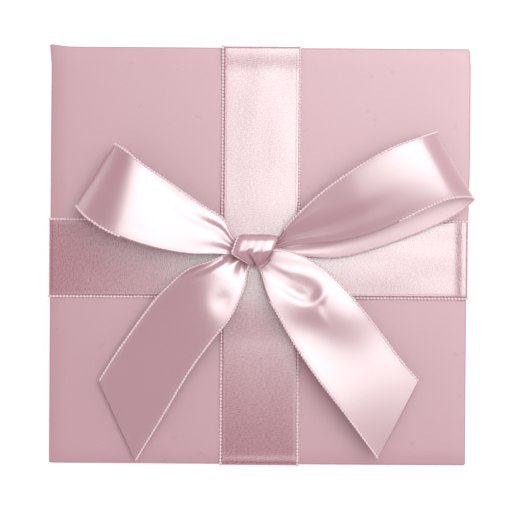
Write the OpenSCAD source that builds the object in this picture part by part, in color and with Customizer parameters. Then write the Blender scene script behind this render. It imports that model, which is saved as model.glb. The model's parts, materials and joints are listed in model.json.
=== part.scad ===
// Rigid paper-covered gift box: a tray, a lift-off lid, a ribbon cross
// fastened to the lid, and a hand-tied bow on top of it.
// The origin is the centre of the underside, +Z is up, +Y is the back.

/* [Box] */
// Width and depth of the lid over its covering paper
lid_w = 136; // [80:1:200]
// Height of the closed box, without ribbon and bow
box_h = 60; // [40:1:120]
// Height of the lid's side wall
lid_h = 32; // [20:1:38]
// Thickness of the greyboard
board_t = 1.5; // [1:0.1:2.5]
// Thickness of the covering and lining paper
paper_t = 0.25; // [0.2:0.05:0.4]
// Width of the covering paper where it is turned in or under
turn_in = 15; // [8:1:18]
// Gap all round between the lid's paper and the tray's paper
fit_gap = 1.1; // [0.9:0.1:2]
// Bevel of the blunt board edges
edge_c = 0.7; // [0.4:0.1:1]

/* [Corner stays] */
// Width of the stay tape on each side of a corner
stay_w = 12; // [8:1:20]
// Thickness of the stay tape
stay_t = 0.1; // [0.05:0.01:0.15]

/* [Ribbon] */
// Width of the satin ribbon
ribbon_w = 25.4; // [12:0.1:38]
// Thickness of the ribbon
ribbon_t = 0.3; // [0.2:0.05:0.3]
// Length of the ribbon ends turned up inside the lid
ribbon_end = 18; // [10:1:19]
// Thickness of the tape that holds the ribbon ends
tape_t = 0.1; // [0.05:0.05:0.2]
// How far the band along X lies to one side of the middle
across_aside = -1; // [-3:0.1:3]
// How far the band along Y lies to one side of the middle
along_aside = 0.6; // [-3:0.1:3]

/* [Bow] */
// Height of the top of the knot above the lid
knot_h = 10.5; // [8:0.5:14]
// Thickness of the ribbon sheets of the bow
bow_t = 0.6; // [0.4:0.1:0.8]
// Radius of the glue dot under the knot
glue_r = 5.5; // [3:0.5:6]
// Thickness of the glue dot
glue_t = 0.6; // [0.4:0.1:0.8]

/* [Hidden] */

// Lid levels and widths
lid_bottom = box_h - lid_h;
lid_board_w = lid_w - 2 * paper_t;
lid_board_top = box_h - paper_t;
lid_board_under = lid_board_top - board_t;
lid_room_w = lid_board_w - 2 * board_t;
lid_lining = lid_board_under - paper_t;
lid_mouth_w = lid_room_w - 2 * paper_t;

// Tray levels and widths
tray_w = lid_mouth_w - 2 * fit_gap;
tray_bottom = paper_t;
tray_top = lid_lining;
tray_board_w = tray_w - 2 * paper_t;
tray_floor = tray_bottom + paper_t;
tray_inside = tray_floor + board_t;
tray_board_top = tray_top - paper_t;
tray_room_w = tray_board_w - 2 * board_t;
tray_mouth_w = tray_room_w - 2 * paper_t;
sheet_inset = 2;
liner_play = 0.2;

// Ribbon levels
ribbon_top = box_h + ribbon_t;
cross_top = ribbon_top + ribbon_t;
cross_flat = ribbon_w / 2 + abs(across_aside) + 0.3;
cross_ramp = 3;
end_out = lid_mouth_w / 2 - tape_t;
end_in = end_out - ribbon_t;

// Bow levels
bow_base = cross_top + glue_t;
knot_top = box_h + knot_h;

// Colours
paper_pink = [0.86, 0.72, 0.74];
satin_pink = [0.88, 0.77, 0.79];
grey_board = [0.62, 0.58, 0.52];
lining_white = [0.93, 0.91, 0.88];
stay_brown = [0.72, 0.6, 0.45];
glue_clear = [0.9, 0.88, 0.8];

// Steps of the smooth curve between two stations of a bow strip
strip_steps = 5;

// A square bar along Z with bevelled long edges.
module bevelled_bar(w, z0, z1, c) {
    h = w / 2;
    translate([0, 0, z0])
        linear_extrude(height = z1 - z0)
            polygon([
                [h - c, -h], [h, c - h], [h, h - c], [h - c, h],
                [c - h, h], [-h, h - c], [-h, c - h], [c - h, -h]
            ]);
}

// The outline of a box seen from the side, extruded across it. low and high
// are the bevels of its bottom and top edges.
module side_outline(w, z0, z1, low, high) {
    h = w / 2;
    rotate([90, 0, 0])
        linear_extrude(height = w, center = true)
            polygon([
                [low - h, z0], [h - low, z0], [h, z0 + low], [h, z1 - high],
                [h - high, z1], [high - h, z1], [-h, z1 - high], [-h, z0 + low]
            ]);
}

// A block with bevelled upright edges, and bevelled bottom and top edges.
module blunt_block(w, z0, z1, c, low = 0, high = 0) {
    intersection() {
        bevelled_bar(w, z0, z1, c);
        side_outline(w, z0, z1, low, high);
        rotate([0, 0, 90]) side_outline(w, z0, z1, low, high);
    }
}

// A straight block centred on the Z axis.
module core(w, z0, z1) {
    translate([-w / 2, -w / 2, z0]) cube([w, w, z1 - z0]);
}

// A square ring.
module ring(w_out, w_in, z0, z1) {
    difference() {
        core(w_out, z0, z1);
        core(w_in, z0 - 1, z1 + 1);
    }
}

// One wall board. turn is its direction: 0 front, 180 back, and the side
// boards stand between those two.
module wall_board(w, z0, z1, turn, between) {
    reach = between ? w - 2 * board_t : w;
    intersection() {
        blunt_block(w, z0, z1, edge_c);
        rotate([0, 0, turn])
            translate([-reach / 2, -w / 2, z0])
                cube([reach, board_t, z1 - z0]);
    }
}

// Four strips of tape, each folded round one upright corner of the boards.
module corner_stays(w, z0, z1) {
    tape_w = w + 2 * stay_t;
    inner = tape_w - 2 * stay_w;
    difference() {
        bevelled_bar(tape_w, z0, z1, edge_c);
        bevelled_bar(w, z0 - 1, z1 + 1, edge_c);
        for (turn = [0, 90])
            rotate([0, 0, turn])
                translate([-inner / 2, -tape_w, z0 - 1])
                    cube([inner, 2 * tape_w, z1 - z0 + 2]);
    }
}

// The levels between which the stay tape stands on each set of boards.
module lid_stays() {
    corner_stays(lid_board_w, lid_bottom + paper_t, lid_board_top - edge_c);
}

module tray_stays() {
    corner_stays(tray_board_w, tray_floor + edge_c, tray_board_top);
}

// Tray
module base_floor_board() {
    color(grey_board)
        blunt_block(tray_board_w, tray_floor, tray_inside, edge_c, low = edge_c);
}

module base_wall(turn, between) {
    color(lining_white)
        wall_board(tray_board_w, tray_inside, tray_board_top, turn, between);
}

module base_corner_stays() {
    color(stay_brown) tray_stays();
}

module base_wrap() {
    color(paper_pink)
        union() {
            difference() {
                blunt_block(tray_w, tray_bottom, tray_top, edge_c, low = edge_c);
                blunt_block(tray_board_w, tray_floor, tray_board_top, edge_c, low = edge_c);
                core(tray_w - 2 * turn_in, tray_bottom - 1, tray_floor + 1);
                core(tray_mouth_w, tray_board_top - 1, tray_top + 1);
                tray_stays();
            }
            ring(tray_room_w, tray_mouth_w, tray_top - turn_in, tray_top);
        }
}

module base_bottom_sheet() {
    color(paper_pink) core(tray_w - 2 * sheet_inset, 0, tray_bottom);
}

module base_floor_liner() {
    color(lining_white)
        core(tray_room_w - 2 * liner_play, tray_inside, tray_inside + paper_t);
}

// Lid
module lid_top_board() {
    color(grey_board)
        blunt_block(lid_board_w, lid_board_under, lid_board_top, edge_c, high = edge_c);
}

module lid_wall(turn, between) {
    color(lining_white)
        wall_board(lid_board_w, lid_bottom + paper_t, lid_board_under, turn, between);
}

module lid_corner_stays() {
    color(stay_brown) lid_stays();
}

module lid_wrap() {
    color(paper_pink)
        union() {
            difference() {
                blunt_block(lid_w, lid_bottom, box_h, edge_c, high = edge_c);
                blunt_block(lid_board_w, lid_bottom + paper_t, lid_board_top,
                            edge_c, high = edge_c);
                core(lid_mouth_w, lid_bottom - 1, lid_bottom + paper_t + 1);
                lid_stays();
            }
            ring(lid_room_w, lid_mouth_w, lid_bottom, lid_bottom + turn_in);
        }
}

module lid_liner() {
    color(lining_white) core(lid_mouth_w, lid_lining, lid_board_under);
}

// Half of a ribbon band's inner line, from the middle of the lid's top over
// the edge, down the wall, under the rim and up inside. raised is how far the
// middle lies above the lid.
function half_band(raised) = concat(
    raised > 0
        ? [[cross_flat, box_h + raised], [cross_flat + cross_ramp, box_h]]
        : [],
    [
        [lid_w / 2 - edge_c, box_h], [lid_w / 2, box_h - edge_c],
        [lid_w / 2, lid_bottom], [end_out, lid_bottom],
        [end_out, lid_bottom + ribbon_end]
    ]
);

// The same half line one ribbon thickness further out.
bend = ribbon_t * tan(22.5);
function half_band_outer(raised) = concat(
    raised > 0
        ? [[cross_flat, box_h + raised + ribbon_t], [cross_flat + cross_ramp, ribbon_top]]
        : [],
    [
        [lid_w / 2 - edge_c + bend, ribbon_top],
        [lid_w / 2 + ribbon_t, box_h - edge_c + bend],
        [lid_w / 2 + ribbon_t, lid_bottom - ribbon_t],
        [end_in, lid_bottom - ribbon_t], [end_in, lid_bottom + ribbon_end]
    ]
);

function mirrored(line) = [for (p = line) [-p[0], p[1]]];
function reversed(line) = [for (i = [len(line) - 1:-1:0]) line[i]];

// A ribbon band round the lid, along X.
module band(raised) {
    inner = half_band(raised);
    outer = half_band_outer(raised);
    rotate([90, 0, 0])
        linear_extrude(height = ribbon_w, center = true)
            polygon(concat(
                reversed(mirrored(inner)), inner, reversed(outer), mirrored(outer)
            ));
}

module ribbon_across() {
    color(satin_pink) translate([0, across_aside, 0]) band(0);
}

module ribbon_along() {
    color(satin_pink)
        translate([along_aside, 0, 0]) rotate([0, 0, 90]) band(ribbon_t);
}

module ribbon_end_tapes() {
    color(glue_clear)
        for (turn = [0:90:270])
            translate(turn % 180 == 0 ? [0, across_aside, 0] : [along_aside, 0, 0])
                rotate([0, 0, turn])
                    translate([end_out, -ribbon_w / 2 + 2, lid_bottom + 2])
                        cube([tape_t, ribbon_w - 4, ribbon_end - 4]);
}

// Bow. A strip is a ribbon sheet given by stations: its back edge, its front
// edge and its thickness. Smooth curves join the stations.
function smooth(a, b, c, d, u) =
    ((2 * b) + (c - a) * u + (2 * a - 5 * b + 4 * c - d) * u * u
     + (3 * b - a - 3 * c + d) * u * u * u) / 2;

function smooth_line(p) = concat(
    [for (i = [0:len(p) - 2]) for (k = [0:strip_steps - 1])
        smooth(p[max(i - 1, 0)], p[i], p[i + 1], p[min(i + 2, len(p) - 1)], k / strip_steps)],
    [p[len(p) - 1]]
);

function unit(v) = v / norm(v);

module strip(stations) {
    back = smooth_line([for (s = stations) s[0]]);
    front = smooth_line([for (s = stations) s[1]]);
    thick = smooth_line([for (s = stations) s[2]]);
    last = len(back) - 1;
    middle = [for (i = [0:last]) (back[i] + front[i]) / 2];
    normal = [for (i = [0:last])
        unit(cross(middle[min(i + 1, last)] - middle[max(i - 1, 0)], back[i] - front[i]))];
    points = [for (i = [0:last]) for (corner = [
        back[i] + normal[i] * thick[i] / 2, front[i] + normal[i] * thick[i] / 2,
        front[i] - normal[i] * thick[i] / 2, back[i] - normal[i] * thick[i] / 2
    ]) corner];
    sides = [for (i = [0:last - 1]) for (k = [0:3])
        let (a = 4 * i + k, b = 4 * i + (k + 1) % 4)
            for (face = [[a, b, b + 4], [a, b + 4, a + 4]]) face];
    end = 4 * last;
    caps = [[0, 3, 2], [0, 2, 1], [end, end + 1, end + 2], [end, end + 2, end + 3]];
    polyhedron(points = points, faces = concat(caps, sides));
}

left_loop = [
    [[-6, 5.5, 66.2], [-6, 1, 66.2], 1.8],
    [[-11.5, 12, 67], [-14, 0.5, 68], 0.9],
    [[-18.5, 16.5, 68.2], [-23, 0.5, 69.8], bow_t],
    [[-29.7, 24.2, 70], [-34.3, 2.5, 72], bow_t],
    [[-37.4, 29.3, 71.2], [-45.9, 6.5, 73.2], bow_t],
    [[-42.4, 33.3, 70.2], [-53.5, 11, 71], bow_t],
    [[-46.3, 35.7, 66.5], [-58.7, 15.5, 66.2], bow_t],
    [[-40, 31, 62.8], [-51.5, 11, 62.6], bow_t],
    [[-30.5, 24.5, 62.2], [-35, 4, 62.2], bow_t],
    [[-17.5, 15.5, 62.8], [-20.5, 2, 62.8], bow_t],
    [[-6, 5, 64], [-6, 1.5, 64], 1.2]
];

right_loop = [
    [[4.5, 5.8, 66.4], [4.5, 2.5, 66.4], 1.8],
    [[10, 11, 68], [13, 4, 67.2], 1],
    [[19.7, 20.2, 70], [26.2, 5, 68.6], bow_t],
    [[30.3, 27.8, 72], [39.4, 8.6, 70.4], bow_t],
    [[41.4, 34.3, 72.8], [51.4, 14.6, 71.2], bow_t],
    [[50.5, 37.8, 71.6], [61, 18.6, 70], bow_t],
    [[56.8, 40.2, 67.5], [68.8, 19.1, 66.2], bow_t],
    [[47.5, 35.5, 63.2], [61, 12, 63], bow_t],
    [[33, 27, 62.6], [46, 5.5, 62.4], bow_t],
    [[20, 18, 62.6], [28, 0, 62.4], bow_t],
    [[10, 7.5, 63.5], [15, 0, 62.8], bow_t],
    [[5, 5.5, 63.6], [5, 1.5, 63.4], 1]
];

left_tail = [
    [[-7, 1.5, 64.4], [-3, -2.5, 64], 1.4],
    [[-16, -2, 66.8], [-4, -9, 65.8], 0.9],
    [[-27, -8, 65.6], [-9, -20, 68.2], bow_t],
    [[-33.5, -14.5, 64.6], [-14.5, -27, 68], bow_t],
    [[-41.5, -25.5, 63.6], [-22, -37.5, 66.2], bow_t],
    [[-47, -33.5, 62.8], [-30.5, -52, 63.8], bow_t],
    [[-51.5, -41, 62.2], [-39.5, -67, 61.6], bow_t]
];

right_tail = [
    [[5, 2, 64.8], [0, -3, 64.8], 1.2],
    [[13.5, 0.5, 65], [1, -7, 66.5], 1],
    [[27, -9.5, 65], [7, -20, 68.5], bow_t],
    [[33.5, -17, 65], [12, -28.5, 68.5], bow_t],
    [[46, -33, 64.5], [28.5, -51, 68], bow_t],
    [[52, -40.5, 64.5], [39.5, -65.5, 66.5], bow_t]
];

// The knot: the ribbon's own wrap round the roots of loops and tails,
// wide at the back and drawn together at the front.
knot_back_w = 14.5;
knot_front_w = 7;
knot_back = 7;
knot_front = -3.2;
knot_r = 1.6;
module knot_body() {
    low = bow_base + knot_r;
    high = knot_top - knot_r;
    intersection() {
        hull() {
            for (side = [-1, 1], z = [low, high]) {
                translate([side * (knot_back_w / 2 - knot_r), knot_back - knot_r, z])
                    sphere(r = knot_r, $fn = 16);
                translate([side * (knot_front_w / 2 - knot_r), knot_front + knot_r, z])
                    sphere(r = knot_r, $fn = 16);
            }
            translate([0, 2, knot_top - 2.5]) sphere(r = 2.5, $fn = 16);
        }
        core(4 * knot_back_w, bow_base, knot_top + 1);
    }
}

module bow_glue_dot() {
    color(glue_clear)
        translate([0, 1, cross_top]) cylinder(h = glue_t, r = glue_r, $fn = 48);
}

module bow_strip(stations) {
    color(satin_pink)
        difference() {
            strip(stations);
            knot_body();
        }
}

module bow_knot() {
    color(satin_pink) knot_body();
}

base_floor_board();
base_wall(0, false);  // base_front_board
base_wall(180, false);  // base_back_board
base_wall(270, true);  // base_left_board
base_wall(90, true);  // base_right_board
base_corner_stays();
base_wrap();
base_bottom_sheet();
base_floor_liner();
lid_top_board();
lid_wall(0, false);  // lid_front_board
lid_wall(180, false);  // lid_back_board
lid_wall(270, true);  // lid_left_board
lid_wall(90, true);  // lid_right_board
lid_corner_stays();
lid_wrap();
lid_liner();
ribbon_across();
ribbon_along();
ribbon_end_tapes();
bow_glue_dot();
bow_strip(left_loop);  // bow_loop_left
bow_strip(right_loop);  // bow_loop_right
bow_strip(left_tail);  // bow_tail_left
bow_strip(right_tail);  // bow_tail_right
bow_knot();
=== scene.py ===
import json
import math

import bmesh
import bpy
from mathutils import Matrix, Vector, noise


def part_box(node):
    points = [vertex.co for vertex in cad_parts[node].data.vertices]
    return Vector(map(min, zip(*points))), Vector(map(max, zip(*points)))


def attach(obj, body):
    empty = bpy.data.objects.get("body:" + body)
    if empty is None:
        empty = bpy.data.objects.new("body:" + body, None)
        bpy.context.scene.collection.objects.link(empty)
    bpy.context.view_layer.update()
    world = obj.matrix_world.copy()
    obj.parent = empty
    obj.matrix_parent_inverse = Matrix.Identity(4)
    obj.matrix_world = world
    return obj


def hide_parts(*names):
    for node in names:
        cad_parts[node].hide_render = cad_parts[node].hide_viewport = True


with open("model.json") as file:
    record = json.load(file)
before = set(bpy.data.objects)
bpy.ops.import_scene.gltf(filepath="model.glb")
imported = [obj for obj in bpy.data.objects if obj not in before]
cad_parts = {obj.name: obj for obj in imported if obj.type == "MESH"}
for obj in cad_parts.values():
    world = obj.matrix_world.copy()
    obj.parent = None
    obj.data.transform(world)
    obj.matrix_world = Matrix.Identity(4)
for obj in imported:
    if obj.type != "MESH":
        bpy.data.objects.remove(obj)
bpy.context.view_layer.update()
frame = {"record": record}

# A paper-covered gift box with a ribbon cross and a tied bow on its lid.
# Shapes are worked out in millimetres in the part's frame, and MM turns them
# into metres when they are placed. Heights of the bow are above the lid.
MM = 0.001


def size_of(node):
    """The low and high corners of a CAD node's box, in millimetres."""
    low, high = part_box(node)
    return Vector(low) / MM, Vector(high) / MM


lid_low, lid_high = size_of("lid_wrap")
LID_HALF, LID_TOP, LID_RIM = lid_high.x, lid_high.z, lid_low.z
tray_low, tray_high = size_of("base_wrap")
TRAY_HALF, TRAY_TOP, TRAY_FOOT = tray_high.x, tray_high.z, tray_low.z
board_low, board_high = size_of("lid_top_board")
BOARD_T = board_high.z - board_low.z
PAPER_T = LID_TOP - board_high.z
across_low, across_high = size_of("ribbon_across")
along_low, along_high = size_of("ribbon_along")
RIBBON_W = across_high.y - across_low.y
RIBBON_T = across_high.x - LID_HALF
ACROSS_SHIFT = (across_low.y + across_high.y) / 2
ALONG_SHIFT = -(along_low.x + along_high.x) / 2
KNOT_FOOT = size_of("bow_knot")[0].z - LID_TOP

# Sizes that no box of a CAD node tells: the blunt edges of the board, the
# paper turned in over the rim, the tape between ribbon and lid, the ribbon
# turned up inside the lid, and the length of one stitch of its edge.
EDGE_R = 0.7
TURN_IN = 15.0
TAPE_T = 0.1
RIBBON_END = 18.0
STITCH = 1.1
BAND_END = size_of("lid_liner")[1].x - TAPE_T


# ---------------------------------------------------------------- lines

def smooth(points, t):
    """The point at t, from 0 to 1, on a smooth curve through points."""
    span = min(max(t, 0.0), 1.0) * (len(points) - 1)
    i = min(int(span), len(points) - 2)
    u = span - i
    a, b = points[max(i - 1, 0)], points[i]
    c, d = points[i + 1], points[min(i + 2, len(points) - 1)]
    return 0.5 * (2 * b + (c - a) * u + (2 * a - 5 * b + 4 * c - d) * u ** 2
                  + (3 * b - a - 3 * c + d) * u ** 3)


def bump(distance, width):
    """1 at distance 0, falling smoothly to nothing."""
    return math.exp(-(distance / width) ** 2)


def ease(x, low, high):
    """0 below low, 1 above high, and smooth between."""
    t = min(max((x - low) / (high - low), 0.0), 1.0)
    return t * t * (3 - 2 * t)


class Run:
    """A line of points that is walked by its length."""

    def __init__(self, points):
        self.points = [Vector(p) for p in points]
        self.reach = [0.0]
        for a, b in zip(self.points, self.points[1:]):
            self.reach.append(self.reach[-1] + (b - a).length)
        self.length = self.reach[-1]

    def at(self, distance):
        """The point at a distance, and its place in the list, from 0 to 1."""
        distance = min(max(distance, 0.0), self.length)
        low, high = 0, len(self.reach) - 1
        while high - low > 1:
            middle = (low + high) // 2
            if self.reach[middle] <= distance:
                low = middle
            else:
                high = middle
        gap = self.reach[high] - self.reach[low]
        part = (distance - self.reach[low]) / gap if gap else 0.0
        point = self.points[low].lerp(self.points[high], part)
        return point, (low + part) / (len(self.points) - 1)


def away_from(line, x, y):
    """How far a plan point lies from a line of plan points."""
    best = math.inf
    for (ax, ay), (bx, by) in zip(line, line[1:]):
        dx, dy = bx - ax, by - ay
        t = min(max(((x - ax) * dx + (y - ay) * dy) / (dx * dx + dy * dy), 0.0), 1.0)
        best = min(best, math.hypot(x - ax - t * dx, y - ay - t * dy))
    return best


# ------------------------------------------------------------ materials

class Wire:
    """A number on its way through a material's nodes."""

    def __init__(self, bench, socket):
        self.bench, self.socket = bench, socket

    def maths(self, operation, *others):
        return self.bench.maths(operation, self, *others)

    def __add__(self, other): return self.maths("ADD", other)
    __radd__ = __add__

    def __mul__(self, other): return self.maths("MULTIPLY", other)
    __rmul__ = __mul__

    def __sub__(self, other): return self.maths("SUBTRACT", other)

    def __rsub__(self, other): return self.bench.maths("SUBTRACT", other, self)


class Made:
    """A node on the bench, asked for its outputs."""

    def __init__(self, bench, node):
        self.bench, self.real = bench, node

    def out(self, name):
        return Wire(self.bench, self.real.outputs[name])


class Bench:
    """The node tree of a material or a world, and the one way to add nodes
    to it."""

    def __init__(self, owner):
        self.owner = owner
        owner.use_nodes = True
        self.tree = owner.node_tree
        self.tree.nodes.clear()

    def node(self, kind, settings=None, values=None):
        made = self.tree.nodes.new(kind)
        for key, value in (settings or {}).items():
            setattr(made, key, value)
        for key, value in (values or {}).items():
            socket = made.inputs[key]
            if isinstance(value, Wire):
                self.tree.links.new(value.socket, socket)
            elif socket.type == "RGBA":
                socket.default_value = (*value, 1.0)
            else:
                socket.default_value = value
        return Made(self, made)

    def maths(self, operation, *terms):
        return self.node("ShaderNodeMath", {"operation": operation},
                         dict(enumerate(terms))).out(0)

    def place(self):
        """Object coordinates, as a vector."""
        return self.node("ShaderNodeTexCoord").out("Object")

    def mapped(self, vector, scale):
        return self.node("ShaderNodeMapping", None, {
            "Vector": vector, "Scale": scale}).out(0)

    def parts(self, vector):
        split = self.node("ShaderNodeSeparateXYZ", None, {0: vector})
        return split.out("X"), split.out("Y"), split.out("Z")

    def noise(self, vector, scale, detail=3.0, roughness=0.5):
        return self.node("ShaderNodeTexNoise", None, {
            "Vector": vector, "Scale": scale, "Detail": detail,
            "Roughness": roughness}).out(0)

    def steps(self, value, low, high):
        """0 below low and 1 above high, smoothly."""
        return self.node("ShaderNodeMapRange", {"interpolation_type": "SMOOTHSTEP"}, {
            "Value": value, "From Min": low, "From Max": high}).out(0)

    def blend(self, fac, one, two):
        """Two colours mixed."""
        return self.node("ShaderNodeMix", {"data_type": "RGBA"}, {
            0: fac, 6: one, 7: two}).out(2)

    def bumped(self, height, distance):
        return self.node("ShaderNodeBump", None, {
            "Height": height, "Distance": distance}).out(0)

    def finish(self, values):
        """The material, with its one shader set."""
        shader = self.node("ShaderNodeBsdfPrincipled", None, values)
        self.node("ShaderNodeOutputMaterial", None, {"Surface": shader.out(0)})
        return self.owner


def new_bench(name):
    return Bench(bpy.data.materials.new(name))


def satin(name, colour, shade, gloss):
    """Satin ribbon: long floating threads, fine cross ribs, and a groove
    inside each woven edge. gloss is its roughness and its refractive index,
    which is high for thread, because a whole layer of threads shines."""
    bench = new_bench(name)
    uv = bench.node("ShaderNodeUVMap", {"uv_map": "ribbon"}).out(0)
    across, along, _ = bench.parts(uv)
    across_mm, along_mm = across * RIBBON_W, along * RIBBON_W
    threads = bench.noise(bench.mapped(uv, (150.0, 9.0, 1.0)), 1.0, 2.0)
    weft = bench.noise(bench.mapped(uv, (26.0, 75.0, 1.0)), 1.0, 2.0)
    drape = bench.noise(bench.mapped(uv, (3.0, 1.3, 1.0)), 1.0, 1.0)
    ribs = (along_mm * 8.6 + across_mm * 1.6).maths("SINE")
    from_edge = (0.5 - (across - 0.5).maths("ABSOLUTE")) * RIBBON_W
    groove_in, groove_half = 1.3, 0.35
    groove = 1 - bench.steps((from_edge - groove_in).maths("ABSOLUTE"), 0.0, groove_half)
    height = threads * 0.45 + weft * 0.15 + ribs * 0.12 + drape * 1.5 - groove * 0.35
    return bench.finish({
        # The groove also pulls the colour toward the darker tone: painted shade in the
        # groove.
        "Base Color": bench.blend(threads * 0.2 + weft * 0.2 + groove * 0.35, colour, shade),
        "Roughness": gloss[0] + weft * 0.12 + groove * 0.15,
        "Specular IOR Level": 1.0,
        "IOR": gloss[1],
        "Specular Tint": (0.92, 1.0, 0.99),
        "Normal": bench.bumped(height, 0.000016),
    })


def edge_thread():
    """The twisted thread of a woven edge, paler than the satin."""
    bench = new_bench("ribbon_edge_thread")
    here = bench.place()
    fuzz = bench.noise(here, 2600.0, 3.0, 0.7)
    return bench.finish({
        "Base Color": bench.blend(fuzz, (0.74, 0.55, 0.585), (0.94, 0.82, 0.84)),
        "Roughness": 0.45 + fuzz * 0.2,
        "Specular IOR Level": 0.7,
        "Sheen Weight": 0.15,
        "Normal": bench.bumped(fuzz, 0.00005),
    })


def cover_paper():
    """Smooth coated covering paper, a little cloudy, with soft board under
    it and rubbed edges."""
    bench = new_bench("pink_cover_paper")
    here = bench.place()
    cloud = bench.noise(here, 22.0, 3.0)
    fibre = bench.noise(here, 900.0, 4.0, 0.65)
    speck = bench.steps(bench.noise(here, 260.0, 1.0), 0.735, 0.76)
    pointed = bench.node("ShaderNodeNewGeometry").out("Pointiness")
    worn = bench.steps(pointed, 0.56, 0.68)
    tone = bench.blend(cloud, (0.49, 0.268, 0.312), (0.53, 0.296, 0.343))
    rubbed = bench.blend(worn * 0.35, tone, (0.70, 0.50, 0.53))
    return bench.finish({
        "Base Color": bench.blend(speck * 0.25, rubbed, (0.40, 0.17, 0.20)),
        "Roughness": 0.42 + fibre * 0.14 + cloud * 0.05,
        "Specular IOR Level": 1.0,
        "IOR": 1.72,
        "Normal": bench.bumped(fibre * 0.6 + cloud * 1.5, 0.00004),
    })


def plain_paper(name, pale, dark, grain=1200.0):
    """Uncoated paper or tape."""
    bench = new_bench(name)
    here = bench.place()
    fibre = bench.noise(here, grain, 5.0, 0.7)
    cloud = bench.noise(here, 35.0, 2.0)
    return bench.finish({
        "Base Color": bench.blend(fibre * 0.6 + cloud * 0.4, dark, pale),
        "Roughness": 0.82 + fibre * 0.12,
        "Specular IOR Level": 0.3,
        "Normal": bench.bumped(fibre, 0.00006),
    })


def board(name, pale, dark):
    """Greyboard: pressed waste paper with flecks of fibre."""
    bench = new_bench(name)
    here = bench.place()
    fibre = bench.noise(bench.mapped(here, (1.0, 1.0, 3.0)), 520.0, 5.0, 0.75)
    fleck = bench.steps(bench.noise(here, 1300.0, 2.0), 0.63, 0.72)
    tone = bench.blend(fibre, dark, pale)
    return bench.finish({
        "Base Color": bench.blend(fleck * 0.3, tone, tuple(c * 0.7 for c in dark)),
        "Roughness": 0.88 + fibre * 0.08,
        "Specular IOR Level": 0.2,
        "Normal": bench.bumped(fibre + fleck * 0.3, 0.00012),
    })


def clear_stuff(name, colour, roughness, cloudiness):
    """Glue and tape film."""
    bench = new_bench(name)
    cloud = bench.noise(bench.place(), 420.0, 3.0)
    return bench.finish({
        "Base Color": bench.blend(cloud, colour, tuple(c * cloudiness for c in colour)),
        "Roughness": roughness + cloud * 0.15,
        "Coat Weight": 0.4,
        "Normal": bench.bumped(cloud, 0.0001),
    })


# The bow's satin has a paler colour than the bands': painted light, for light coming through
# a loose ribbon.
BAND_SATIN = satin("pink_satin", (0.43, 0.15, 0.20), (0.38, 0.12, 0.165), (0.22, 2.15))
BOW_SATIN = satin("pale_satin_painted_light", (0.52, 0.28, 0.325), (0.47, 0.245, 0.29), (0.25, 2.03))
# The satin's back is much lighter: partly its dull woven face, partly painted light, as the
# loops' lower strands that show it lie in shade.
REVERSE = satin("satin_reverse", (0.78, 0.56, 0.60), (0.70, 0.47, 0.52), (0.42, 1.8))
THREAD = edge_thread()
PAPER = cover_paper()
LINING = plain_paper("lining_paper", (0.86, 0.83, 0.79), (0.77, 0.73, 0.68))
STAY = plain_paper("stay_tape_paper", (0.55, 0.38, 0.22), (0.42, 0.27, 0.15), 700.0)
GREY = board("greyboard", (0.40, 0.36, 0.31), (0.30, 0.26, 0.22))
LINED = board("white_lined_board", (0.86, 0.84, 0.80), (0.78, 0.75, 0.70))
GLUE = clear_stuff("hot_glue", (0.85, 0.81, 0.70), 0.35, 0.85)
TAPE = clear_stuff("clear_tape", (0.88, 0.86, 0.80), 0.2, 0.92)


# --------------------------------------------------------------- pieces

def keep(bm, name, *materials):
    """A bmesh in millimetres becomes a piece in metres."""
    bmesh.ops.scale(bm, vec=(MM, MM, MM), verts=bm.verts)
    mesh = bpy.data.meshes.new(name)
    bm.to_mesh(mesh)
    bm.free()
    for material in materials:
        mesh.materials.append(material)
    for face in mesh.polygons:
        face.use_smooth = True
    piece = bpy.data.objects.new(name, mesh)
    bpy.context.scene.collection.objects.link(piece)
    return piece


def thicken(piece, thickness):
    """A sheet gets its thickness on the side that its faces turn from, and
    its second material there."""
    wall = piece.modifiers.new("thickness", "SOLIDIFY")
    wall.thickness = thickness * MM
    wall.offset = -1.0
    wall.material_offset = 1
    wall.material_offset_rim = 0
    return piece


def ribbon_sheet(name, satin_side, place, along, across, looks_up):
    """A sheet of ribbon. place(u, w) gives its points: u runs along the
    ribbon and w across it, both from 0 to 1. looks_up is a u at which the
    satin side looks up."""
    bm = bmesh.new()
    bmesh.ops.create_grid(bm, x_segments=along, y_segments=across, size=0.5)
    middle = Run([place(i / along, 0.5) for i in range(along + 1)])
    layer = bm.loops.layers.uv.new("ribbon")
    for face in bm.faces:
        for loop in face.loops:
            u, w = loop.vert.co.x + 0.5, loop.vert.co.y + 0.5
            loop[layer].uv = (w, middle.reach[round(u * along)] / RIBBON_W)
    for vert in bm.verts:
        vert.co = place(vert.co.x + 0.5, vert.co.y + 0.5)
    step = 0.5 / along
    run = place(looks_up + step, 0.5) - place(looks_up - step, 0.5)
    if run.cross(place(looks_up, 0.6) - place(looks_up, 0.4)).z < 0:
        bmesh.ops.reverse_faces(bm, faces=bm.faces)
    piece = keep(bm, name, satin_side, REVERSE)
    return thicken(piece, RIBBON_T), middle.length


BOTH_EDGES = ((0.0, 0.0, 1.0), (1.0, 0.0, 1.0))


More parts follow.
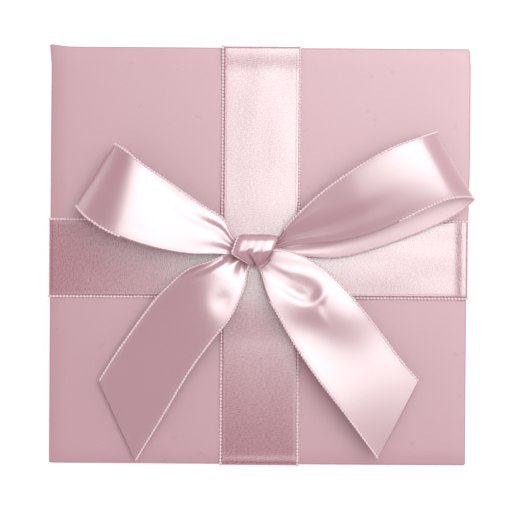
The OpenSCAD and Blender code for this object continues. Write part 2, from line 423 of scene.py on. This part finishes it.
def woven_edges(name, place, along, edges=BOTH_EDGES):
    """The beaded threads along a ribbon's edges, one bead to each stitch.
    Each edge is given by its side, and where it starts and stops to show."""
    around, rings_per_bead = 6, 4
    neck, swelling, uneven, sunk = 0.07, 0.35, 0.25, 0.15
    wide, flat, look_ahead = 1.2, 0.85, 0.4
    bm = bmesh.new()
    for side, start, end in edges:
        inside = 0.03 if side == 0.0 else 0.97
        spots = [start + (end - start) * i / along for i in range(along + 1)]
        edge = Run([place(u, side) for u in spots])
        rings = int(edge.length / STITCH * rings_per_bead)
        made = bmesh.ops.create_grid(bm, x_segments=rings, y_segments=around, size=0.5)
        frames = []
        for i in range(rings + 1):
            at = edge.length * i / rings
            point, part = edge.at(at)
            ahead, back = edge.at(at + look_ahead)[0], edge.at(at - look_ahead)[0]
            u = start + (end - start) * part
            out = (point - place(u, inside)).normalized()
            up = (ahead - back).cross(out).normalized()
            swell = abs(math.sin(math.pi * at / STITCH))
            size = 1 + uneven * noise.noise(Vector((at * 0.7, side, along)))
            close = min(1.0, 4 * min(at, edge.length - at))
            frames.append((point, out, up, (neck + swelling * swell) * size * close))
        for vert in made["verts"]:
            point, out, up, radius = frames[round((vert.co.x + 0.5) * rings)]
            angle = 2 * math.pi * (vert.co.y + 0.5)
            vert.co = (point + out * (radius * math.cos(angle) * wide - sunk)
                       + up * (radius * math.sin(angle) * flat))
    bmesh.ops.remove_doubles(bm, verts=bm.verts, dist=0.0005)
    bmesh.ops.recalc_face_normals(bm, faces=bm.faces)
    return keep(bm, name, THREAD)


def lay_ribbon(node, satin_side, place, grid, looks_up, flat_length,
               edges=BOTH_EDGES):
    """A CAD ribbon's satin sheet and its woven edges, fastened to the lid.
    grid is the sheet's rows along and across. The ribbon's flat length, that
    of its middle line where no other is given, is worked out but not kept."""
    along, across = grid
    sheet, course = ribbon_sheet(node + "_satin", satin_side, place, along, across,
                                 looks_up)
    threads = woven_edges(node + "_edges", place, 2 * along, edges)
    for piece in (sheet, threads):
        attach(piece, "lid")
    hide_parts(node)
    (flat_length or course) * MM


# How far to each side a sheet looks for the direction that it runs in
LOOK = 0.01


def stations(*points):
    """The points that one edge of a ribbon passes through."""
    return [Vector(p) for p in points]


def onto_lid(points):
    """Stations raised by the height of the lid's top."""
    return [p + Vector((0, 0, LID_TOP)) for p in points]


def plan_point(one_edge, other_edge, k, w):
    """Where the point at station k and w lies, seen from above."""
    last = len(one_edge) - 1
    x, y, _ = smooth(one_edge, k / last).lerp(smooth(other_edge, k / last), w)
    return x, y


def sheet_from_stations(one_edge, other_edge, relief):
    """place(u, w) of a sheet whose two edges pass through stations. relief
    lifts it along its own face, given the station number and w."""
    one, other = onto_lid(one_edge), onto_lid(other_edge)
    last = len(one) - 1

    def place(u, w):
        a, b = smooth(one, u), smooth(other, u)
        ahead = smooth(one, u + LOOK) + smooth(other, u + LOOK)
        behind = smooth(one, u - LOOK) + smooth(other, u - LOOK)
        face = (ahead - behind).cross(b - a).normalized()
        return a.lerp(b, w) + face * relief(u * last, w)

    return place


# ----------------------------------------------------------- paper work

def rounded_shell(half, closed, mouth, ring_only):
    """Covering paper over a square box: sides, one closed end, the fold
    round the rim and the turn-in. closed and mouth are levels. Only a ring
    of paper is turned under a closed end that has a sheet of its own."""
    height = abs(closed - mouth)
    direction = 1 if closed > mouth else -1
    cuts, edge_segments, fold = 23, 4, 0.12
    bm = bmesh.new()
    bmesh.ops.create_cube(bm, size=1.0)
    bmesh.ops.subdivide_edges(bm, edges=bm.edges, cuts=cuts, use_grid_fill=True)
    for vert in bm.verts:
        vert.co = Vector((vert.co.x * 2 * half, vert.co.y * 2 * half,
                          (closed + mouth) / 2 + vert.co.z * height))
    bmesh.ops.delete(bm, context="FACES", geom=[
        f for f in bm.faces if f.normal.z * direction < -0.5])
    sharp = [e for e in bm.edges if len(e.link_faces) == 2
             and e.link_faces[0].normal.dot(e.link_faces[1].normal) < 0.5]
    bmesh.ops.bevel(bm, geom=sharp, offset=EDGE_R, segments=edge_segments,
                    profile=0.5, affect="EDGES", material=-1)
    if ring_only:
        bmesh.ops.delete(bm, context="FACES", geom=[
            f for f in bm.faces if abs(f.normal.z) > 0.9
            and max(abs(f.calc_center_median().x), abs(f.calc_center_median().y))
            < half - TURN_IN])
    wall = BOARD_T + 2 * PAPER_T
    clear = 0.001
    rim = [e for e in bm.edges if len(e.link_faces) == 1
           and abs(e.verts[0].co.z - mouth) < 0.01]
    # over the rim, to the wall's inner face, and on to the paper's cut edge
    outer, inner = half - wall * 0.25, half - wall + clear
    for reach, rise in ((outer, -fold), (inner, fold), (inner, TURN_IN)):
        made = bmesh.ops.extrude_edge_only(bm, edges=rim)["geom"]
        rim = [g for g in made if isinstance(g, bmesh.types.BMEdge)]
        for vert in {v for e in rim for v in e.verts}:
            for axis in (0, 1):
                vert.co[axis] = max(min(vert.co[axis], reach), -reach)
            vert.co.z += rise * direction
    bmesh.ops.recalc_face_normals(bm, faces=bm.faces)
    probe = max(bm.faces, key=lambda f: f.calc_center_median().x)
    if probe.normal.x < 0:
        bmesh.ops.reverse_faces(bm, faces=bm.faces)
    return bm


def lid_paper():
    """The lid's covering, with the small ear of paper at its back left
    corner, and the loose crease down its right side at the back."""
    bm = rounded_shell(LID_HALF, LID_TOP, LID_RIM, False)
    ear_out = Vector((-0.55, 0.75, 0.15))
    ear_size, bulge, crease_depth, unevenness = 3.2, 1.0, 0.12, 0.08
    for vert in bm.verts:
        x, y, z = vert.co
        top = ease(z, LID_TOP - 9.0, LID_TOP - 1.5)
        ear = bump(math.hypot(x + LID_HALF, y - LID_HALF), ear_size) * top
        vert.co += ear_out * ear
        right = ease(x, LID_HALF - 3.0, LID_HALF - 0.5)
        loose = right * ease(y, -20.0, 40.0) * (1 - 0.4 * ease(y, LID_HALF - 6.0, LID_HALF))
        vert.co.x += bulge * loose * ease(z, LID_RIM + 4.0, LID_TOP - 4.0)
        crease = bump(x - LID_HALF + 3.0 + (LID_HALF - y) * 0.05, 1.2)
        vert.co.z -= crease_depth * crease * ease(y, 0.0, 50.0) * top
        vert.co.z += unevenness * noise.noise(Vector((x, y, 0)) * 0.03) * top
    return keep(bm, "lid_cover_paper", PAPER, PAPER)


lid_cover = thicken(lid_paper(), PAPER_T)
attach(lid_cover, "lid")
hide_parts("lid_wrap")

tray_shell = rounded_shell(TRAY_HALF, TRAY_FOOT, TRAY_TOP, True)
tray_cover = thicken(keep(tray_shell, "base_cover_paper", PAPER, PAPER), PAPER_T)
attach(tray_cover, "base")
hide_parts("base_wrap")


# ---------------------------------------------------------- ribbon bands

def arc(middle, radius, start, end, steps=6):
    """Points of an arc about a middle, from one angle to another."""
    turn = [math.radians(start + (end - start) * i / steps) for i in range(steps + 1)]
    return [Vector((middle[0] + radius * math.cos(a), middle[1] + radius * math.sin(a)))
            for a in turn]


def band_run(raised, proud, reach):
    """Half of a band seen from the side, as out and up, from the middle of
    the lid down to its end inside. The ribbon rises by proud over the last
    reach before it goes over the lid's edge."""
    shoulder_r, rim_r, inner_r, gap = 0.9, 0.7, 0.6, 0.08
    crossing = RIBBON_W / 2
    over = LID_HALF + RIBBON_T
    low = LID_RIM - RIBBON_T
    inside = BAND_END - RIBBON_T
    top_steps, end_steps = 70, 6
    top = []
    for i in range(top_steps):
        out = (over - shoulder_r) * i / top_steps
        rise = gap + proud * ease(out, over - reach, over - shoulder_r)
        rise += raised * (1 - ease(out, crossing + 1.0, crossing + 16.0))
        top.append(Vector((out, LID_TOP + RIBBON_T + rise)))
    shoulder = arc((over - shoulder_r, top[-1].y - shoulder_r), shoulder_r, 88, 0, 8)
    under = arc((over - rim_r, low + rim_r), rim_r, 0, -90)
    up = arc((inside + inner_r, low + inner_r), inner_r, -90, -180)
    end = [Vector((inside, LID_RIM + RIBBON_END * i / end_steps))
           for i in range(1, end_steps + 1)]
    return Run([Vector((p.x, p.y, 0)) for p in top + shoulder + under + up + end])


def band_place(raised, turned, shift, ends):
    """place(u, w) of a band, and its length. raised lifts it over the band
    beneath at the crossing, and shift puts it to one side of the middle."""
    near, far = (band_run(raised, *end) for end in ends)
    unevenness = 0.07

    def place(u, w):
        side, half = (1, far) if u >= 0.5 else (-1, near)
        point = half.at(abs(u - 0.5) * 2 * half.length)[0]
        run, cross, up = point.x * side, (w - 0.5) * RIBBON_W + shift, point.y
        if up > LID_TOP:
            up += unevenness * noise.noise(Vector((run * 0.05, cross * 0.12, shift)))
        return Vector((-cross, run, up)) if turned else Vector((run, cross, up))

    return place, near.length + far.length


for node, raised, turned, shift, ends in (
        ("ribbon_across", 0.0, False, ACROSS_SHIFT, ((0.0, 4.0), (0.55, 5.0))),
        ("ribbon_along", RIBBON_T, True, ALONG_SHIFT, ((0.12, 3.5), (0.75, 9.0)))):
    place, flat_length = band_place(raised, turned, shift, ends)
    lay_ribbon(node, BAND_SATIN, place, (420, 24), 0.5, flat_length)


# ------------------------------------------------------------------ bow

def pleats(w, count, shift=0.0):
    """Even waves across a ribbon, where it is drawn together."""
    return math.cos(2 * math.pi * (count * w + shift))


LEFT_LOOP_BACK = stations(
    (-6, 5, 6), (-8, 6.5, 6.3), (-11.5, 12, 7), (-18.5, 16.5, 8.2), (-29.7, 24.2, 10),
    (-37.4, 29.3, 11.2), (-42.4, 33.3, 10.2), (-46.3, 35.7, 6.5), (-44.7, 34.1, 4),
    (-40, 31, 2.8), (-30.5, 24.5, 2.2), (-17.5, 15.5, 3), (-7, 5, 4.5))
LEFT_LOOP_FRONT = stations(
    (-6, 1.5, 6), (-8.5, 0.5, 6.5), (-14, 0.5, 8), (-23, 0.5, 9.8), (-34.3, 2.5, 12),
    (-45.9, 6.5, 13.2), (-53.5, 11, 11), (-58.7, 15.5, 6.2), (-57, 14, 3.8),
    (-51.5, 11, 2.6), (-35, 4, 2.2), (-20.5, 2, 3), (-7, 1.5, 4.5))


def left_loop_relief(k, w):
    """Pleats at the root, a face arched to its back edge, and two creases."""
    root = 1 - ease(k, 0.5, 3.5)
    upper = 1 - ease(k, 6.0, 7.0)
    lift = root * 0.22 * pleats(w, 2.5, 0.1)
    lift += upper * 1.3 * (1 - w * w) * ease(k, 1.5, 4.0)
    lift -= upper * 0.55 * bump(w - 0.70, 0.11) * bump(k - 2.4, 1.3)
    lift -= upper * 0.5 * bump(w - 0.85, 0.12) * bump(k - 3.7, 0.7)
    return -lift


RIGHT_LOOP_BACK = stations(
    (3.5, 5.5, 6), (6.5, 6, 6.5), (10, 11, 8), (19.7, 20.2, 10), (30.3, 27.8, 12),
    (41.4, 34.3, 12.8), (50.5, 37.8, 11.6), (56.8, 40.2, 7.5), (54.5, 38.5, 4.5),
    (47.5, 35.5, 3.2), (33, 27, 2.6), (20, 18, 3), (10, 7.5, 4.5), (4.5, 5, 5))
RIGHT_LOOP_FRONT = stations(
    (3.5, 2, 6), (7, 3, 6.4), (13, 4, 7.2), (26.2, 5, 8.6), (39.4, 8.6, 10.4),
    (51.4, 14.6, 11.2), (61, 18.6, 10), (68.8, 19.1, 6.2), (68, 17, 4),
    (61, 12, 3), (46, 5.5, 2.4), (28, 0, 2.6), (15, 0, 3.6), (4.5, 1.5, 4.5))


def right_loop_relief(k, w):
    """Pleats at the root, an arched face with one crease, and waves on the
    way back underneath."""
    root = 1 - ease(k, 0.5, 3.5)
    upper = 1 - ease(k, 6.0, 7.0)
    lift = root * 0.6 * pleats(w, 2.0, 0.4)
    lift += upper * 0.6 * (1 - (2 * w - 1) ** 2) * ease(k, 1.5, 4.0)
    lift -= upper * 0.9 * bump(w - 0.35, 0.13) * bump(k - 2.3, 1.3)
    lift += ease(k, 9.0, 11.0) * 0.5 * pleats(w, 1.5, 0.3)
    return lift


LEFT_TAIL_LEFT = stations(
    (-6.5, 2, 4.5), (-10.5, 0.5, 6), (-16, -2, 6.8), (-22, -4, 6.4), (-27, -8, 5.6),
    (-33.5, -14.5, 4.6), (-41.5, -25.5, 3.6), (-47, -33.5, 2.8), (-51.5, -41, 2.2))
LEFT_TAIL_RIGHT = stations(
    (-2.5, -2, 4), (-3.5, -4.5, 4.6), (-4, -9, 5.8), (-6, -14, 7.2), (-9, -20, 8.2),
    (-14.5, -27, 8), (-22, -37.5, 6.2), (-30.5, -52, 3.8), (-39.5, -67, 1.6))
LEFT_TAIL_RIDGE = ((-27, -8.5), (-19, -4.8), (-12, -1.5))
LEFT_TAIL_DENT = Vector((-11, -15))


def left_tail_relief(k, w):
    """Pleats at the root, an arch, a ridge by the left edge, and a dent."""
    x, y = plan_point(LEFT_TAIL_LEFT, LEFT_TAIL_RIGHT, k, w)
    lift = 0.5 * pleats(w, 2.0) * (1 - ease(k, 0.5, 2.5))
    lift += 0.8 * (1 - (2 * w - 1) ** 2) * ease(k, 0.8, 2.6) * (1 - ease(k, 4.0, 7.0))
    lift += 0.8 * bump(away_from(LEFT_TAIL_RIDGE, x, y), 1.5)
    lift -= 0.5 * bump((Vector((x, y)) - LEFT_TAIL_DENT).length, 3.5)
    return lift


RIGHT_TAIL_LEFT = stations(
    (1, -0.5, 4.5), (0, -3, 5), (1, -7, 6.5), (3, -13, 8), (7, -20, 8.5),
    (12, -28.5, 8.5), (19.5, -39.5, 8.5), (28.5, -51, 8), (39, -65, 6.5))
RIGHT_TAIL_RIGHT = stations(
    (3, 2, 4.5), (6.5, 2.5, 5), (13.5, 0.5, 5), (20.5, -3.5, 5), (27, -9.5, 5),
    (33.5, -17, 5), (40, -25, 4.5), (46, -33, 4.5), (52, -40, 4.5))
POCKET_RIM = stations(
    (0, -5), (4.5, -9.3), (8.5, -12.3), (13.5, -14.8), (18, -14.6), (20.6, -11.3),
    (19.8, -7), (16, -4.2), (10, -2.6), (4, -1.5))
POCKET_LINE = [tuple(smooth(POCKET_RIM, i / 40)) for i in range(41)]
POCKET_MIDDLE = Vector((11, -8.5))
LEANING = Vector((21.5, -20.5))


def in_pocket(x, y):
    """Whether a plan point lies within the pocket's rim."""
    inside = False
    for (ax, ay), (bx, by) in zip(POCKET_LINE, POCKET_LINE[1:] + POCKET_LINE[:1]):
        if (ay > y) != (by > y) and x < ax + (bx - ax) * (y - ay) / (by - ay):
            inside = not inside
    return inside


def right_tail_relief(k, w):
    """A sloping pocket with a raised rim, steeper on its upper side, and
    below it a stretch that leans away from the light."""
    x, y = plan_point(RIGHT_TAIL_LEFT, RIGHT_TAIL_RIGHT, k, w)
    away = away_from(POCKET_LINE, x, y)
    if in_pocket(x, y):
        away = -away
    in_plan = Vector((x, y))
    from_middle = in_plan - POCKET_MIDDLE
    upper = ease(from_middle.x + from_middle.y, -2.5, 2.5)
    outside, inside, crest = 5.5 - 3.7 * upper, 1.8 + 1.7 * upper, 0.2
    lift = 0.5 * bump(away - crest, outside if away > crest else inside)
    lift += 0.135 * from_middle.y * (1 - ease(away, -3.0, 1.0))
    leaning = in_plan - LEANING
    lift += 0.21 * leaning.dot((0.8, 0.6)) * bump(leaning.length, 12.0)
    return lift


BOW_SHEETS = [
    # node, one edge, other edge, relief, rows, where it looks up, where its edges show
    ("bow_loop_left", LEFT_LOOP_FRONT, LEFT_LOOP_BACK, left_loop_relief, 220, 0.3,
     ((0.0, 0.4, 1.0), (1.0, 0.04, 1.0))),
    ("bow_loop_right", RIGHT_LOOP_FRONT, RIGHT_LOOP_BACK, right_loop_relief, 240, 0.3,
     ((0.0, 0.34, 1.0), (1.0, 0.12, 1.0))),
    ("bow_tail_left", LEFT_TAIL_LEFT, LEFT_TAIL_RIGHT, left_tail_relief, 160, 0.8,
     BOTH_EDGES),
    ("bow_tail_right", RIGHT_TAIL_LEFT, RIGHT_TAIL_RIGHT, right_tail_relief, 160, 0.8,
     ((0.0, 0.4, 1.0), (1.0, 0.1, 1.0))),
]

for node, one, other, relief, rows, looks_up, edges in BOW_SHEETS:
    place = sheet_from_stations(one, other, relief)
    lay_ribbon(node, BOW_SATIN, place, (rows, 40), looks_up, None,
               edges)


KNOT_LEFT = stations(
    (-4.0, 1.5, KNOT_FOOT), (-3.4, -1.0, KNOT_FOOT + 0.2), (-2.6, -2.9, KNOT_FOOT + 1.8),
    (-2.5, -3.3, 5.2), (-5.4, -1.6, 7.6), (-8.4, 0.5, 9.3), (-8.0, 2.8, 9.5),
    (-7.3, 5.0, 9.0), (-6.7, 6.6, 7.6), (-6.3, 6.9, 4.8), (-5.6, 6.3, KNOT_FOOT + 1.0),
    (-5.0, 4.2, KNOT_FOOT), (-4.6, 2.0, KNOT_FOOT))
KNOT_RIGHT = stations(
    (2.4, 1.5, KNOT_FOOT), (2.0, -1.0, KNOT_FOOT + 0.2), (1.6, -2.7, KNOT_FOOT + 1.8),
    (1.6, -3.0, 5.4), (2.7, -1.0, 8.0), (4.0, 1.0, 9.4), (5.0, 3.1, 9.25),
    (5.7, 5.1, 8.7), (6.1, 6.7, 7.3), (5.9, 6.9, 4.8), (5.2, 6.3, KNOT_FOOT + 1.0),
    (4.6, 4.2, KNOT_FOOT), (4.2, 2.0, KNOT_FOOT))


def knot_section(u, half):
    """The wrap cut across, as sideways and outward: its pleated face, then
    the rest of the ribbon's width folded to and fro behind it."""
    front = ease(u, 0.12, 0.22) * (1 - ease(u, 0.36, 0.5))
    bend_r, bend_length, step_in, least_reach = 0.25, 0.8, 0.2, 1.5
    section = []
    for i in range(61):
        across = i / 30 - 1
        out = (0.015 + 0.1 * front) * pleats(i / 60, 5.0, 0.1) - 0.7 * abs(across) ** 7
        out -= 0.9 * bump(across + 0.16, 0.1) * front
        out += 0.4 * bump(across - 0.04, 0.12) * front
        section.append(Vector((half * across, out)))
    side, level, reach = 1, section[-1].y, half
    left = RIBBON_W - Run(section).length
    while left > 0.5:
        section += arc((side * reach, level - bend_r), bend_r, 90, 90 - 180 * side, 4)
        lay = min(left, 2 * reach - 0.3)
        level -= 2 * bend_r
        section += [Vector((side * (reach - lay * i / 12), level)) for i in range(1, 13)]
        left -= lay + bend_length
        side, reach = -side, max(reach - step_in, least_reach)
    return Run(section)


knot_sections = {}


def knot_place(u, w):
    """The ribbon's wrap round the roots of loops and tails: from below, up
    at the front, over the top, and down at the back."""
    left, right = smooth(KNOT_LEFT, u), smooth(KNOT_RIGHT, u)
    across = right - left
    if u not in knot_sections:
        knot_sections[u] = knot_section(u, across.length / 2)
    at = knot_sections[u].at(w * knot_sections[u].length)[0]
    ahead = smooth(KNOT_LEFT, u + LOOK) + smooth(KNOT_RIGHT, u + LOOK)
    behind = smooth(KNOT_LEFT, u - LOOK) + smooth(KNOT_RIGHT, u - LOOK)
    face = across.cross(ahead - behind).normalized()
    across.normalize()
    point = (left + right) / 2 + across * at.x + face * at.y
    return point + Vector((0, 0, LID_TOP))


lay_ribbon("bow_knot", BOW_SATIN, knot_place, (130, 110), 0.5, None,
           ((0.0, 0.22, 0.72),))


# ----------------------------------------- finishes of the plain CAD parts

FINISHES = {
    "greyboard": GREY, "lined_board": LINED, "stay_tape": STAY, "lining_paper": LINING,
    "cover_paper": PAPER, "clear_tape": TAPE, "hot_glue": GLUE}
for part in frame["record"]["subparts"]:
    finish = FINISHES.get(part["material_slot"])
    node = bpy.data.objects.get(part["node"])
    if finish and node:
        for slot in node.material_slots:
            slot.material = finish


# ---------------------------------------------------------------- studio

def soft_light(name, spot, size, power, colour, lights=True, shines=True):
    """A square soft light looking down. It may only light, or only shine in
    reflections."""
    lamp = bpy.data.lights.new(name, "AREA")
    lamp.shape, lamp.size = "SQUARE", size
    lamp.energy, lamp.color = power, colour
    light = bpy.data.objects.new(name, lamp)
    light.location = spot
    light.visible_diffuse, light.visible_glossy = lights, shines
    bpy.context.scene.collection.objects.link(light)


def studio():
    """A pale floor, a room with a brighter side, and three soft lights."""
    bm = bmesh.new()
    bmesh.ops.create_grid(bm, x_segments=1, y_segments=1, size=4000)
    pale = new_bench("pale_floor").finish({
        "Base Color": (0.9, 0.9, 0.9), "Roughness": 0.9,
        "Specular IOR Level": 0.1,
        "Emission Color": (1.0, 1.0, 1.0), "Emission Strength": 0.5})
    keep(bm, "floor", pale)

    room = bpy.data.worlds.new("room")
    bench = Bench(room)
    right, back, up = bench.parts(bench.node("ShaderNodeTexCoord").out("Generated"))
    window = ((right + back) * 0.7).maths("ABSOLUTE")
    glow = bench.node("ShaderNodeBackground", None, {
        "Color": (1.0, 0.87, 0.905), "Strength": 0.44 - 0.4 * up * up + 0.5 * window})
    bench.node("ShaderNodeOutputWorld", None, {"Surface": glow.out(0)})
    bpy.context.scene.world = room

    # The sheen hangs just under the key, or the two would hide each other.
    cool, warm = (0.96, 1.0, 0.985), (1.0, 0.87, 0.91)
    soft_light("key", (0.38, 0.38, 0.85), 0.9, 4.3, cool, shines=False)
    soft_light("sheen", (0.38, 0.38, 0.84), 0.9, 8.5, cool, lights=False)
    soft_light("fill", (0.0, 0.0, 1.6), 2.5, 12.0, warm, shines=False)


def camera():
    """Straight above the lid, with the box's back at the top of the frame."""
    above, view_width = 0.42, 0.1663
    aside, back, turned = -0.0011, 0.0003, 0.4
    data = bpy.data.cameras.new("camera")
    data.sensor_width = 36.0
    data.lens = data.sensor_width * above / view_width
    eye = bpy.data.objects.new("camera", data)
    eye.location = (aside, back, LID_TOP * MM + above)
    eye.rotation_euler = (0.0, 0.0, math.radians(turned))
    bpy.context.scene.collection.objects.link(eye)
    bpy.context.scene.camera = eye
    bpy.context.scene.view_settings.view_transform = "Standard"


studio()
camera()
